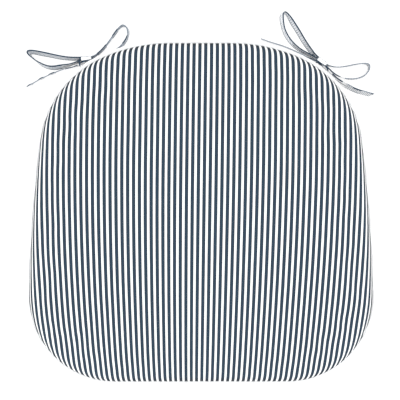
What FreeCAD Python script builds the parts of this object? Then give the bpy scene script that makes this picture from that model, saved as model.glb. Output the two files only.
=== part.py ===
import FreeCAD, Part

import math
import os

# Chair seat pad: a removable zipped cover round a foam core, with a tape bow at each rear corner.
# Millimetres. X to the pad's right, Y towards the rear edge, Z up. The pad lies flat on z = 0.

V = FreeCAD.Vector

# ---- driving dimensions ----------------------------------------------------------------------
THICKNESS = 40.0            # whole pad, underside to top
EDGE_RADIUS = 16.0          # roll of the cover into the side seam
REAR_FLAT_HALF = 36.0       # half of the straight stretch of the rear edge
SHOULDER_RADIUS, SHOULDER_TURN = 200.0, 22.6    # gentle curve beside the rear flat
REAR_CORNER_RADIUS, REAR_CORNER_TURN = 128.0, 60.4
SIDE_RADIUS, SIDE_TURN = 1800.0, 5.7            # sides swell slightly
FRONT_CORNER_RADIUS = 102.0                     # turns what is left of the half circle
REAR_Y = 200.4              # rear edge of the cover panels

CLOTH = 0.8                 # cover fabric
WADDING = 6.0               # polyester wrap each side of the foam
SLIP = 0.1                  # between layers that only lie on each other
SEAM_Z = THICKNESS / 2
SEAM_ALLOWANCE = 6.5        # width of the turned-in cover edge
FLANGE = 0.6                # piping cloth in the seam

PIPING_RADIUS = 2.0
PIPING_CLOTH = 0.5
PIPING_OUT = PIPING_RADIUS + 0.05
CORD_SLIP = 0.05            # filler cord inside the piping cloth

ZIP_Y = 110.0               # zip line across the underside
ZIP_HALF = 150.0            # half of the open slot
SLOT_HALF = 6.0             # half width of the slot
HEM = 14.0                  # how far the slot's folded edge reaches
SLOT_WALL_LOW = 0.2         # lower rim of the slot's folded edge
PANEL_GAP = 0.1             # between the two underside panels
TAPE_Z = 4.6                # underside of the zip tapes
TAPE_THICK = 0.6
TAPE_INNER = 0.5            # zip tapes start this far from the zip line
TAPE_OVER = 10.0            # zip tapes run this far past the slot's ends
WADDING_OVER = 12.0         # and the wadding stays this far clear of them
COIL_WIDE, COIL_THICK, COIL_ROUND = 2.2, 1.3, 0.5
COIL_SHORT = 4.0            # coil stops this far before the slot's ends
STOP_IN, STOP_LONG, STOP_WIDE, STOP_THICK = 6.0, 2.0, 5.8, 0.63
SLIDER_X = 132.0            # slider parked at the closed end
SLIDER_LONG, SLIDER_WIDE, SLIDER_ROUND = 14.0, 10.0, 2.4
SLIDER_LOW, SLIDER_PLATE = 1.95, 1.0            # lower plate: underside and thickness
SLIDER_UPPER_GAP, SLIDER_UPPER_PLATE = 0.2, 0.8
POST_FROM_END, POST_LONG, POST_SLIP = 5.0, 3.0, 0.12
LIP_WIDE, LIP_GAP = 1.0, 0.35
ARCH_HALF, ARCH_WIDE, ARCH_LOW, ARCH_THICK = 3.2, 1.6, 0.3, 0.6
PIN_Z = 1.35                # pivot of the pull tab
PULL_LONG, PULL_WIDE, PULL_THICK, PULL_ROUND = 22.0, 6.0, 0.8, 1.5
PULL_START = 4.4            # the tab's near edge from the pivot
GRIP_RADIUS, GRIP_IN = 1.4, 4.0                 # hole near the tab's far end
PIN_RADIUS, PIN_LONG = 0.32, 3.6
ARM_WIDE, ARM_APART = 1.1, 2.2

RIBBON_WIDE = 12.0          # tie tape, standing on its edge
RIBBON_THICK = 0.9
RIBBON_Z = 0.2
KNOT_LONG, KNOT_DEEP, KNOT_TALL, KNOT_ROUND, KNOT_LOW = 12.6, 6.4, 13.0, 1.6, 0.1

# Knots: centre in plan, direction of the bow (degrees from +X).
LEFT_KNOT, LEFT_AIM = (-138.2, 184.7), 8.0
RIGHT_KNOT, RIGHT_AIM = (145.6, 180.9), -35.0

# Tape routes in plan, from inside the knot round the loop, back through the knot and along the tail.
LEFT_OUTER = [(-138.8, 186.4), (-146, 186.3), (-159, 185.7), (-176, 188.6), (-192, 191.9),
              (-203, 194.3), (-208.8, 194), (-208.9, 191.2), (-204.8, 187.4), (-196, 179.4),
              (-181, 174), (-165.5, 177), (-152.5, 180.6), (-144.4, 183.4), (-139.4, 184.2),
              (-139, 182.1), (-143.8, 180.2), (-151, 176.8), (-160, 175.2), (-173, 171.2),
              (-191, 163.8), (-210.8, 152.3)]

LEFT_INNER = [(-137.4, 186.4), (-130.5, 187.6), (-122.5, 193.6), (-113.5, 203.4), (-106.5, 213.6),
              (-101, 221.6), (-94.8, 226.8), (-88.8, 223.6), (-87.6, 214.2), (-93, 205.4),
              (-98.6, 199.2), (-106.4, 194), (-117.2, 189.8), (-125.4, 186.6), (-131.8, 184.8),
              (-136.8, 184.3), (-136.6, 182.3), (-131.6, 182.1), (-125, 182.2), (-116.4, 185.4),
              (-104.6, 190.2), (-92.6, 194.1), (-80.5, 197.1)]

RIGHT_OUTER = [(147.3, 182), (151.5, 178.6), (157, 176.6), (166, 175.8), (177, 176.6), (188, 179.3),
               (198, 180.8), (203.8, 178.6), (204, 172.5), (199.5, 165.2), (189.5, 161.6), (178, 161.2),
               (168, 164), (160, 168.6), (154.6, 173.4), (150.2, 177), (146.2, 180.1), (145, 178.4),
               (148.9, 175), (154.6, 169.6), (161.5, 163), (170.5, 156), (182.5, 149.8), (195, 144.6),
               (208.3, 141.8)]

RIGHT_INNER = [(146, 182.9), (141, 186.8), (136, 191.5), (130.5, 198.6), (124.4, 208.3), (118.5, 217.8),
               (112, 228.5), (106, 238), (102.5, 242), (98.8, 241.6), (97.6, 236.5), (98.9, 226.5),
               (102.3, 216), (109.6, 204.8), (120.6, 196), (131.2, 190.4), (139.4, 185.6),
               (144.8, 181.2), (143.6, 179.5), (139.1, 182.4), (131, 186.6), (121, 192), (109.5, 197.4),
               (96.5, 202.2), (83.8, 206.2), (72.3, 210)]

# Tie anchors: outline angle of the place where the doubled tape end comes out of the seam.
ANCHOR_ANGLE_LEFT, ANCHOR_ANGLE_RIGHT = 32.3, 35.7
ANCHOR_OUT = 5.2
ANCHOR_LOW = 15.4           # where the tape end turns outwards, below the piping
ANCHOR_THICK = 0.6
ANCHOR_IN = 0.2             # the flat tape end keeps this far inside the curved outline
ANCHOR_SEWN = 5.0           # length caught in the seam
ANCHOR_SLIP = 0.3           # between the tape end and the gap it passes through

LABEL_WIDE, LABEL_THICK = 34.0, 0.5
LABEL_SLIP, LABEL_TURN = 0.3, 60     # off the cover, degrees round the roll
LABEL_SEWN = 1.5                     # part in the seam

SEAM_SLIP = 0.1             # between the turned-in edges and the piping's flange
BEYOND = 400.0              # further than any point of the pad


# ---- plan outline ------------------------------------------------------------------------------
def half_outline():
    """Arcs of the right half from rear centre to front centre: (centre x, centre y, radius, start, end).
    Angles are clockwise from +Y, so a point is centre + radius * (sin a, cos a)."""
    front_turn = 180.0 - SHOULDER_TURN - REAR_CORNER_TURN - SIDE_TURN
    spans = [(SHOULDER_RADIUS, SHOULDER_TURN), (REAR_CORNER_RADIUS, REAR_CORNER_TURN),
             (SIDE_RADIUS, SIDE_TURN), (FRONT_CORNER_RADIUS, front_turn)]
    x, y, angle, arcs = REAR_FLAT_HALF, REAR_Y, 0.0, []
    for radius, turn in spans:
        a = math.radians(angle)
        cx = x - radius * math.sin(a)
        cy = y - radius * math.cos(a)
        angle += turn
        b = math.radians(angle)
        arcs.append((cx, cy, radius, a, b))
        x = cx + radius * math.sin(b)
        y = cy + radius * math.cos(b)
    return arcs


ARCS = half_outline()
FRONT_Y = ARCS[-1][1] - FRONT_CORNER_RADIUS
FRONT_FLAT_HALF = ARCS[-1][0]
HALF_WIDTH = max(cx + radius for cx, cy, radius, a, b in ARCS if a <= math.pi / 2 <= b)


def on_arc(arc, angle, offset, side, z):
    """A point at that angle on an arc moved outwards by offset; side is 1 for right, -1 for left."""
    cx, cy, radius, _, _ = arc
    return V(side * (cx + (radius + offset) * math.sin(angle)), cy + (radius + offset) * math.cos(angle), z)


def outline_wire(offset, z):
    """The pad's outline as a closed wire, moved outwards by offset, at height z."""
    edges = []
    for arc in ARCS:
        a, b = arc[3], arc[4]
        points = [on_arc(arc, t, offset, 1, z) for t in (a, (a + b) / 2, b)]
        edges.append(Part.Arc(*points).toShape())
    edges.append(Part.LineSegment(V(FRONT_FLAT_HALF, FRONT_Y - offset, z),
                                  V(-FRONT_FLAT_HALF, FRONT_Y - offset, z)).toShape())
    for arc in reversed(ARCS):
        a, b = arc[3], arc[4]
        points = [on_arc(arc, t, offset, -1, z) for t in (b, (a + b) / 2, a)]
        edges.append(Part.Arc(*points).toShape())
    edges.append(Part.LineSegment(V(-REAR_FLAT_HALF, REAR_Y + offset, z),
                                  V(REAR_FLAT_HALF, REAR_Y + offset, z)).toShape())
    return Part.Wire(edges)


def plate(offset, low, high):
    """A flat slab with the pad's outline."""
    return Part.Face(outline_wire(offset, low)).extrude(V(0, 0, high - low))


def pillow(inset):
    """The pad's rounded form, moved inwards everywhere by inset."""
    slab = plate(-inset, inset, THICKNESS - inset)
    rims = [e for e in slab.Edges if abs(e.BoundBox.ZLength) < 1e-6]
    return slab.makeFillet(EDGE_RADIUS - inset, rims)


def block(x0, x1, y0, y1, z0, z1):
    return Part.makeBox(x1 - x0, y1 - y0, z1 - z0, V(x0, y0, z0))


def half_space(low, high):
    """Everything between two heights."""
    return block(-BEYOND, BEYOND, -BEYOND, BEYOND, low, high)


# ---- cover -------------------------------------------------------------------------------------
SEAM_HALF = FLANGE / 2 + SEAM_SLIP
ALLOWANCE_TOP = (SEAM_Z + SEAM_HALF, SEAM_Z + SEAM_HALF + CLOTH)
ALLOWANCE_BOTTOM = (SEAM_Z - SEAM_HALF - CLOTH, SEAM_Z - SEAM_HALF)


def seam_allowance(low, high):
    """The cover edge turned in at the seam: a flat ring inside the wall."""
    return plate(0, low, high).cut(plate(-SEAM_ALLOWANCE, low, high))


def cover_shell():
    return pillow(0).cut(pillow(CLOTH))


def top_panel():
    low, high = ALLOWANCE_TOP
    shell = cover_shell().common(half_space(low, THICKNESS + 1))
    return shell.fuse(seam_allowance(low, high)).removeSplitter()


def bottom_panels():
    """Rear and front panels of the underside, with the folded edges of the zip slot."""
    low, high = ALLOWANCE_BOTTOM
    shell = cover_shell().common(half_space(-1, high)).fuse(seam_allowance(low, high))
    slot = block(-ZIP_HALF, ZIP_HALF, ZIP_Y - SLOT_HALF, ZIP_Y + SLOT_HALF, -1, 10)
    shell = shell.cut(slot)
    panels = []
    for side in (1, -1):
        y_join, y_far = ZIP_Y + side * PANEL_GAP / 2, ZIP_Y + side * BEYOND
        keep = block(-BEYOND, BEYOND, min(y_join, y_far), max(y_join, y_far), -1, THICKNESS)
        wall_in = ZIP_Y + side * SLOT_HALF
        wall_out = ZIP_Y + side * (SLOT_HALF + CLOTH)
        flange_out = ZIP_Y + side * HEM
        wall = block(-ZIP_HALF, ZIP_HALF, min(wall_in, wall_out), max(wall_in, wall_out), SLOT_WALL_LOW,
                     TAPE_Z - SLIP)
        fold = block(-ZIP_HALF, ZIP_HALF, min(wall_in, flange_out), max(wall_in, flange_out),
                     TAPE_Z - SLIP - CLOTH, TAPE_Z - SLIP)
        panels.append(shell.common(keep).fuse([wall, fold]).removeSplitter())
    return panels


def piping():
    """Bias-cut cloth round a filler cord, with the cloth's flange running into the seam."""
    spine = outline_wire(PIPING_OUT, SEAM_Z)
    start = V(0, REAR_Y + PIPING_OUT, SEAM_Z)

    def ring(radius):
        circle = Part.Wire(Part.Circle(V(REAR_FLAT_HALF, start.y, SEAM_Z), V(1, 0, 0), radius).toShape())
        pipe = spine.makePipeShell([circle], True, True)
        return pipe if pipe.ShapeType == "Solid" else Part.makeSolid(pipe)

    outer, bore, cord = ring(PIPING_RADIUS), ring(PIPING_RADIUS - PIPING_CLOTH), ring(
        PIPING_RADIUS - PIPING_CLOTH - CORD_SLIP)
    flange_low, flange_high = SEAM_Z - FLANGE / 2, SEAM_Z + FLANGE / 2
    flange = plate(PIPING_OUT - PIPING_RADIUS * 0.6, flange_low, flange_high)
    flange = flange.cut(plate(-SEAM_ALLOWANCE, flange_low, flange_high))
    cover = outer.fuse(flange).cut(bore)
    return cover, cord


# ---- filling -----------------------------------------------------------------------------------
def filling():
    """Foam core and the two wadding layers that wrap it, clear of the seam and the zip."""
    core_inset = CLOTH + SLIP + WADDING
    foam = pillow(core_inset + SLIP)
    wrap = pillow(CLOTH + SLIP).cut(pillow(core_inset))
    top = wrap.common(half_space(ALLOWANCE_TOP[1] + SLIP, THICKNESS))
    bottom = wrap.common(half_space(0, ALLOWANCE_BOTTOM[0] - SLIP))
    reach, clear = ZIP_HALF + WADDING_OVER, HEM + 0.5
    slot = block(-reach, reach, ZIP_Y - clear, ZIP_Y + clear, -1, core_inset + 1)
    return foam, top, bottom.cut(slot)


# ---- zip ---------------------------------------------------------------------------------------
def rounded_plate(x0, x1, y0, y1, z0, z1, corner):
    solid = block(x0, x1, y0, y1, z0, z1)
    upright = [e for e in solid.Edges if e.BoundBox.ZLength > (z1 - z0) * 0.9]
    return solid.makeFillet(corner, upright)


def zip_side(side):
    """One zip tape and the coil sewn under its inner edge."""
    tape_in, tape_out = ZIP_Y + side * TAPE_INNER, ZIP_Y + side * HEM
    reach = ZIP_HALF + TAPE_OVER
    tape = block(-reach, reach, min(tape_in, tape_out), max(tape_in, tape_out), TAPE_Z, TAPE_Z + TAPE_THICK)
    coil_out = ZIP_Y + side * (TAPE_INNER + COIL_WIDE)
    reach = ZIP_HALF - COIL_SHORT
    coil = block(-reach, reach, min(tape_in, coil_out), max(tape_in, coil_out), TAPE_Z - COIL_THICK, TAPE_Z)
    along = [e for e in coil.Edges
             if e.BoundBox.XLength > ZIP_HALF and e.BoundBox.ZMax < TAPE_Z - COIL_THICK / 2]
    return tape, coil.makeFillet(COIL_ROUND, along)


def zip_stops():
    """A crimped bar at each end of the coil."""
    high = TAPE_Z - COIL_THICK - 0.02
    half_long, half_wide = STOP_LONG / 2, STOP_WIDE / 2
    bars = []
    for x in (STOP_IN - ZIP_HALF, ZIP_HALF - STOP_IN):
        bars.append(rounded_plate(x - half_long, x + half_long, ZIP_Y - half_wide, ZIP_Y + half_wide,
                                  high - STOP_THICK, high, STOP_LONG / 4))
    return Part.makeCompound(bars)


def slider():
    """Two plates joined by a post between the coils, with a small arch below for the pull tab."""
    x0, x1 = SLIDER_X - SLIDER_LONG / 2, SLIDER_X + SLIDER_LONG / 2
    y0, y1 = ZIP_Y - SLIDER_WIDE / 2, ZIP_Y + SLIDER_WIDE / 2
    low_plate = (SLIDER_LOW, SLIDER_LOW + SLIDER_PLATE)
    upper = TAPE_Z + TAPE_THICK + SLIDER_UPPER_GAP
    high_plate = (upper, upper + SLIDER_UPPER_PLATE)
    body = rounded_plate(x0, x1, y0, y1, *low_plate, SLIDER_ROUND)
    body = body.fuse(rounded_plate(x0, x1, y0, y1, *high_plate, SLIDER_ROUND))
    post_half, post = TAPE_INNER - POST_SLIP, x1 - POST_FROM_END
    body = body.fuse(block(post, post + POST_LONG, ZIP_Y - post_half, ZIP_Y + post_half,
                           low_plate[1], high_plate[0]))
    for side in (1, -1):
        lip_in, lip_out = ZIP_Y + side * (SLIDER_WIDE / 2 - LIP_WIDE), ZIP_Y + side * SLIDER_WIDE / 2
        body = body.fuse(block(x0 + SLIDER_ROUND, x1 - SLIDER_ROUND,
                               min(lip_in, lip_out), max(lip_in, lip_out),
                               low_plate[1], TAPE_Z - LIP_GAP))
    arch = block(SLIDER_X - ARCH_HALF, SLIDER_X + ARCH_HALF, ZIP_Y - ARCH_WIDE / 2, ZIP_Y + ARCH_WIDE / 2,
                 ARCH_LOW, low_plate[0])
    open_half = ARCH_HALF - 1
    window = block(SLIDER_X - open_half, SLIDER_X + open_half, ZIP_Y - ARCH_WIDE, ZIP_Y + ARCH_WIDE,
                   ARCH_LOW + ARCH_THICK, low_plate[0])
    return body.fuse(arch.cut(window)).removeSplitter()


def pull():
    """Pull tab: a pin through the slider's arch, two arms and a rounded tab lying over the coil."""
    radius = PULL_THICK / 2
    start, end = SLIDER_X - PULL_START, SLIDER_X - PULL_LONG
    tab = rounded_plate(end, start, ZIP_Y - PULL_WIDE / 2, ZIP_Y + PULL_WIDE / 2,
                        PIN_Z - radius, PIN_Z + radius, PULL_ROUND)
    tab = tab.cut(Part.makeCylinder(GRIP_RADIUS, 4, V(end + GRIP_IN, ZIP_Y, PIN_Z - 2)))
    tab = tab.fuse(Part.makeCylinder(PIN_RADIUS, PIN_LONG,
                                     V(SLIDER_X, ZIP_Y - PIN_LONG / 2, PIN_Z), V(0, 1, 0)))
    for y in (ZIP_Y - ARM_APART / 2 - ARM_WIDE, ZIP_Y + ARM_APART / 2):
        tab = tab.fuse(block(start - 1, SLIDER_X, y, y + ARM_WIDE, PIN_Z - radius, PIN_Z + radius))
        tab = tab.fuse(Part.makeCylinder(radius, ARM_WIDE, V(SLIDER_X, y, PIN_Z), V(0, 1, 0)))
    return tab.removeSplitter()


# ---- ties --------------------------------------------------------------------------------------
def rounded_route(points):
    """The route as straight runs ("line", start, end, way) joined by tangent arcs ("arc", start, end, centre,
    radius, 1 when turning left), and the arc radii."""
    flat = [V(x, y, 0) for x, y in points]
    pieces, at, radii = [], flat[0], []
    for before, corner, after in zip(flat, flat[1:], flat[2:]):
        run_in, run_out = corner - before, after - corner
        turn = run_in.getAngle(run_out)
        reach = 0.45 * min(run_in.Length, run_out.Length)
        radius = reach / math.tan(turn / 2)
        way_in, way_out = V(run_in).normalize(), V(run_out).normalize()
        left = 1 if way_in.cross(way_out).z > 0 else -1
        start, end = corner - way_in * reach, corner + way_out * reach
        centre = start + V(-way_in.y, way_in.x, 0) * (left * radius)
        pieces.append(("line", at, start, way_in))
        pieces.append(("arc", start, end, centre, radius, left))
        at = end
        radii.append(radius)
    pieces.append(("line", at, flat[-1], V(flat[-1] - flat[-2]).normalize()))
    return pieces, radii


def ribbon_side(pieces, shift):
    """The route moved sideways by shift, as edges in order."""
    edges = []
    for piece in pieces:
        if piece[0] == "line":
            _, p, q, way = piece
            aside = V(-way.y, way.x, 0) * shift
            edges.append(Part.LineSegment(p + aside, q + aside).toShape())
            continue
        _, start, end, centre, radius, left = piece
        scale = (radius - left * shift) / radius
        a, b = centre + (start - centre) * scale, centre + (end - centre) * scale
        middle = (start + end) * 0.5 - centre
        edges.append(Part.Arc(a, centre + middle.normalize() * (radius * scale), b).toShape())
    return edges


def ribbon(name, points):
    """A tape of its real length standing on its edge along the route."""
    pieces, radii = rounded_route(points)
    near, far = ribbon_side(pieces, RIBBON_THICK / 2), ribbon_side(pieces, -RIBBON_THICK / 2)
    caps = [Part.LineSegment(near[-1].Vertexes[-1].Point, far[-1].Vertexes[-1].Point).toShape(),
            Part.LineSegment(far[0].Vertexes[0].Point, near[0].Vertexes[0].Point).toShape()]
    wire = Part.Wire(Part.__sortEdges__(near + far + caps))
    face = Part.Face(wire)
    face.translate(V(0, 0, RIBBON_Z))
    solid = face.extrude(V(0, 0, RIBBON_WIDE))
    length = sum(e.Length for e in ribbon_side(pieces, 0.0))
    ratio = solid.Volume / (length * RIBBON_WIDE * RIBBON_THICK)
    print(name, "length %.0f" % length, "volume ratio %.3f" % ratio,
          "radii", " ".join("%.1f" % r for r in radii))
    return solid


def knot(centre, aim):
    """The tight wrap of tape at the middle of a bow."""
    x, y = -KNOT_LONG / 2, -KNOT_DEEP / 2
    solid = block(x, -x, y, -y, KNOT_LOW, KNOT_LOW + KNOT_TALL)
    solid = solid.makeFillet(KNOT_ROUND, solid.Edges)
    solid.rotate(V(0, 0, 0), V(0, 0, 1), aim)
    solid.translate(V(centre[0], centre[1], 0))
    return solid


def anchor(side, angle):
    """Doubled tape end: from between the seam allowances, down the wall and out under the piping."""
    arc = ARCS[1]
    place = on_arc(arc, math.radians(angle), 0, side, 0)
    half, seam_top = RIBBON_WIDE / 2, ALLOWANCE_BOTTOM[1]
    inside = block(-half, half, -ANCHOR_SEWN, -ANCHOR_IN, seam_top - ANCHOR_THICK, seam_top)
    drop = block(-half, half, -ANCHOR_IN - ANCHOR_THICK, -ANCHOR_IN, ANCHOR_LOW, seam_top)
    out = block(-half, half, -ANCHOR_IN - ANCHOR_THICK, ANCHOR_OUT, ANCHOR_LOW, ANCHOR_LOW + ANCHOR_THICK)
    solid = inside.fuse([drop, out]).removeSplitter()
    solid.rotate(V(0, 0, 0), V(0, 0, 1), -side * angle)
    solid.translate(place)
    return solid


def anchor_notch(side, angle):
    """The gap in the rear panel's turned-in edge and wall through which the tie end passes."""
    half = RIBBON_WIDE / 2 + ANCHOR_SLIP
    solid = block(-half, half, -ANCHOR_SEWN - ANCHOR_SLIP, 1.0, ANCHOR_LOW - 0.2, ALLOWANCE_BOTTOM[1] + 0.1)
    solid.rotate(V(0, 0, 0), V(0, 0, 1), -side * angle)
    solid.translate(on_arc(ARCS[1], math.radians(angle), 0, side, 0))
    return solid


def care_label():
    """Blank label hanging from the rear seam, following the roll of the underside."""
    near, half = EDGE_RADIUS + LABEL_SLIP, LABEL_WIDE / 2
    far = near + LABEL_THICK
    centre_y, centre_z = REAR_Y - EDGE_RADIUS, EDGE_RADIUS

    def at(radius, angle):
        a = math.radians(angle)
        return V(-half, centre_y + radius * math.cos(a), centre_z - radius * math.sin(a))

    top, middle = V(0, 0, LABEL_SEWN), LABEL_TURN / 2
    edges = [Part.LineSegment(at(near, 0) + top, at(near, 0)).toShape(),
             Part.Arc(at(near, 0), at(near, middle), at(near, LABEL_TURN)).toShape(),
             Part.LineSegment(at(near, LABEL_TURN), at(far, LABEL_TURN)).toShape(),
             Part.Arc(at(far, LABEL_TURN), at(far, middle), at(far, 0)).toShape(),
             Part.LineSegment(at(far, 0), at(far, 0) + top).toShape(),
             Part.LineSegment(at(far, 0) + top, at(near, 0) + top).toShape()]
    return Part.Face(Part.Wire(edges)).extrude(V(LABEL_WIDE, 0, 0))


# ---- assembly ----------------------------------------------------------------------------------
def build():
    nodes = {"top_panel": top_panel()}
    rear, front = bottom_panels()
    left_anchor, right_anchor = anchor(-1, ANCHOR_ANGLE_LEFT), anchor(1, ANCHOR_ANGLE_RIGHT)
    for side, angle in ((-1, ANCHOR_ANGLE_LEFT), (1, ANCHOR_ANGLE_RIGHT)):
        rear = rear.cut(anchor_notch(side, angle))
    nodes["bottom_rear_panel"], nodes["bottom_front_panel"] = rear, front
    nodes["piping_cover"], nodes["piping_cord"] = piping()
    nodes["foam_core"], nodes["wadding_top"], nodes["wadding_bottom"] = filling()
    nodes["zip_tape_rear"], nodes["zip_coil_rear"] = zip_side(1)
    nodes["zip_tape_front"], nodes["zip_coil_front"] = zip_side(-1)
    nodes["zip_end_stops"] = zip_stops()
    nodes["zip_slider"] = slider()
    nodes["zip_pull"] = pull()
    nodes["care_label"] = care_label()
    nodes["left_tie_anchor"], nodes["right_tie_anchor"] = left_anchor, right_anchor
    nodes["left_tie_outer"] = ribbon("left_tie_outer", LEFT_OUTER)
    nodes["left_tie_inner"] = ribbon("left_tie_inner", LEFT_INNER)
    nodes["right_tie_outer"] = ribbon("right_tie_outer", RIGHT_OUTER)
    nodes["right_tie_inner"] = ribbon("right_tie_inner", RIGHT_INNER)
    nodes["left_knot"] = knot(LEFT_KNOT, LEFT_AIM)
    nodes["right_knot"] = knot(RIGHT_KNOT, RIGHT_AIM)
    return nodes


os.makedirs("parts", exist_ok=True)
print("panel width %.1f depth %.1f" % (2 * HALF_WIDTH, REAR_Y - FRONT_Y))
for name, shape in build().items():
    shape.exportStep("parts/%s.step" % name)
    print(name, "solids", len(shape.Solids), "valid", shape.isValid(), "volume %.0f" % shape.Volume)
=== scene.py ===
import math

import bmesh
import bpy
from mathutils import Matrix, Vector, noise


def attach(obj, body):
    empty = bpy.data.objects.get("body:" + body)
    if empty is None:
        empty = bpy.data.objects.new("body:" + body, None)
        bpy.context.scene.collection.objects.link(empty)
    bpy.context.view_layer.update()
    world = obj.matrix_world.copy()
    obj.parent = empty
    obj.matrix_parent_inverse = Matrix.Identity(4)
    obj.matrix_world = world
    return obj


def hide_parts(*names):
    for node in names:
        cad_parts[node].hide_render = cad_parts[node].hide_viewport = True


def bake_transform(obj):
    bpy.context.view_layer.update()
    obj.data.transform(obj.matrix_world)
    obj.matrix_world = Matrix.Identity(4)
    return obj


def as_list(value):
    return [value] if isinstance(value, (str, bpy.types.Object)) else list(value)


# Chair seat pad in ticking stripe with two tape bows. Sizes are in millimetres; MM turns them into metres.

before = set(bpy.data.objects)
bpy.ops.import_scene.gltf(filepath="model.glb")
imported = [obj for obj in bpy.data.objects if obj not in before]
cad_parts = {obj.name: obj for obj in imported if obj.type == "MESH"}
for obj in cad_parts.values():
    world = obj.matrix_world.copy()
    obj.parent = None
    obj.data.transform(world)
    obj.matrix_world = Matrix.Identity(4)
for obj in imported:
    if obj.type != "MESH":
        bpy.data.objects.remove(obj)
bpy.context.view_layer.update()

MM = 0.001
TAU = 2 * math.pi

# ---- the pad, as in the CAD ----
REAR_FLAT_HALF, REAR_Y = 36.0, 200.4
SPANS = [(200.0, 22.6), (128.0, 60.4), (1800.0, 5.7)]      # radius and turn, rear centre to front corner
FRONT_CORNER_RADIUS = 102.0
SEAM_Z = 20.0
PIPING_RADIUS, PIPING_OUT, FILLER_RADIUS = 2.25, 1.8, 1.3
ZIP_Y, ZIP_HALF, SLOT_HALF = 110.0, 150.0, 6.0

# ---- how full the cover is ----
ROLL_DEEP, ROLL_HIGH = 14.0, 13.0           # tight roll beside the seam
VALLEY = 0.5                                # the cover stays low this far beside the piping
DOME_HIGH = 6.6                             # slow rise from the roll to the middle
DOME_REACH, DOME_REACH_ENDS = 26.0, 22.0    # the rise is slower at the front and rear than at the sides
DEEPEST = 90.0                              # rings follow the outline this far in, then shrink
SPOKES = 512
SIM_EVERY, SIM_HELD_RINGS, SIM_FRAMES = 4, 4, 20       # cloth simulation of the top cover
SIM_PRESSURE, SIM_SPARE, SIM_CAP, SIM_SIDEWAYS = 4.0, 0.004, 1.3, 0.25

# ---- foam and wadding ----
FILL_SPOKES = 192
FILL_IN, FILL_RIM, FILL_REST = 2.0, 1.5, 1.2            # in from the seam, off its level, above the floor
WADDING_TOP, WADDING_BOTTOM, WADDING_INNER = 3.2, 0.6, 7.8      # inside the cover: outer faces, inner faces
FOAM_GAP = 8.5                                          # foam inside the cover
ZIP_CLEAR_HALF, ZIP_CLEAR_SLOPE, ZIP_CLEAR_Z = 15.0, 12.0, 6.8  # the bottom wadding is raised over the zip

# ---- ticking stripe ----
STRIPE = 6.79               # one navy and one white stripe
STRIPE_PHASE = 28.687       # stripes between the pad's left edge and its middle
STRIPE_SHIFT, STRIPE_LEAN = 1.19, 0.01155
EASE_FROM, EASE = 76.0, 9.35e-6             # the cover is drawn together towards the front
NAVY_SHARE = 0.595

# ---- ties ----
TAPE_WIDE, TAPE_FULL, TAPE_LOW = 12.0, 1.05, 0.2
END_CUT, END_CUT_OVER = 3.0, 9.0            # the far end's lower edge is that much shorter, over that length
LEFT_OUTER = [(-138.8, 186.4), (-146, 186.3), (-159, 185.7), (-176, 188.6), (-192, 191.9),
              (-203, 194.3), (-208.8, 194), (-208.9, 191.2), (-204.8, 187.4), (-196, 179.4),
              (-181, 174), (-165.5, 177), (-152.5, 180.6), (-144.4, 183.4), (-139.4, 184.2),
              (-139, 182.1), (-143.8, 180.2), (-151, 176.8), (-160, 175.2), (-173, 171.2),
              (-191, 163.8), (-210.8, 152.3)]
LEFT_OUTER_LEANS = (-0.2, -1.0, -1.8, -2.2, -0.9, 1.6, 1.6, -1.4, 0.0, 4.0, 4.1, 4.1, 4.1)
LEFT_INNER = [(-137.4, 186.4), (-130.5, 187.6), (-122.5, 193.6), (-113.5, 203.4), (-106.5, 213.6),
              (-101, 221.6), (-94.8, 226.8), (-88.8, 223.6), (-87.6, 214.2), (-93, 205.4),
              (-98.6, 199.2), (-106.4, 194), (-117.2, 189.8), (-125.4, 186.6), (-131.8, 184.8),
              (-136.8, 184.3), (-136.6, 182.3), (-131.6, 182.1), (-125, 182.2), (-116.4, 185.4),
              (-104.6, 190.2), (-92.6, 194.1), (-80.5, 197.1)]
LEFT_INNER_LEANS = (-1.0, -2.6, -2.4, -2.4, -1.5, 1.6, 2.0, 2.0, 1.0, -1.5, -2.0, -2.0, -2.0)
RIGHT_OUTER = [(147.3, 182), (151.5, 178.6), (157, 176.6), (166, 175.8), (177, 176.6), (188, 179.3),
               (198, 180.8), (203.8, 178.6), (204, 172.5), (199.5, 165.2), (189.5, 161.6), (178, 161.2),
               (168, 164), (160, 168.6), (154.6, 173.4), (150.2, 177), (146.2, 180.1), (145, 178.4),
               (148.9, 175), (154.6, 169.6), (161.5, 163), (170.5, 156), (182.5, 149.8), (195, 144.6),
               (208.3, 141.8)]
RIGHT_OUTER_LEANS = (-1.7, -3.2, -1.8, -2.7, -1.1, 1.8, 3.5, 1.8, 0.0, 0.4, 1.5, 1.7, 0.9)
RIGHT_INNER = [(146, 182.9), (141, 186.8), (136, 191.5), (130.5, 198.6), (124.4, 208.3), (118.5, 217.8),
               (112, 228.5), (106, 238), (102.5, 242), (98.8, 241.6), (97.6, 236.5), (98.9, 226.5),
               (102.3, 216), (109.6, 204.8), (120.6, 196), (131.2, 190.4), (139.4, 185.6),
               (144.8, 181.2), (143.6, 179.5), (139.1, 182.4), (131, 186.6), (121, 192), (109.5, 197.4),
               (96.5, 202.2), (83.8, 206.2), (72.3, 210)]
RIGHT_INNER_LEANS = (0.0, -1.0, -1.5, -1.4, 2.5, 0.9, 0.2, -0.6, 0.0, 3.5, 3.3, 3.2, 3.4)
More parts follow.
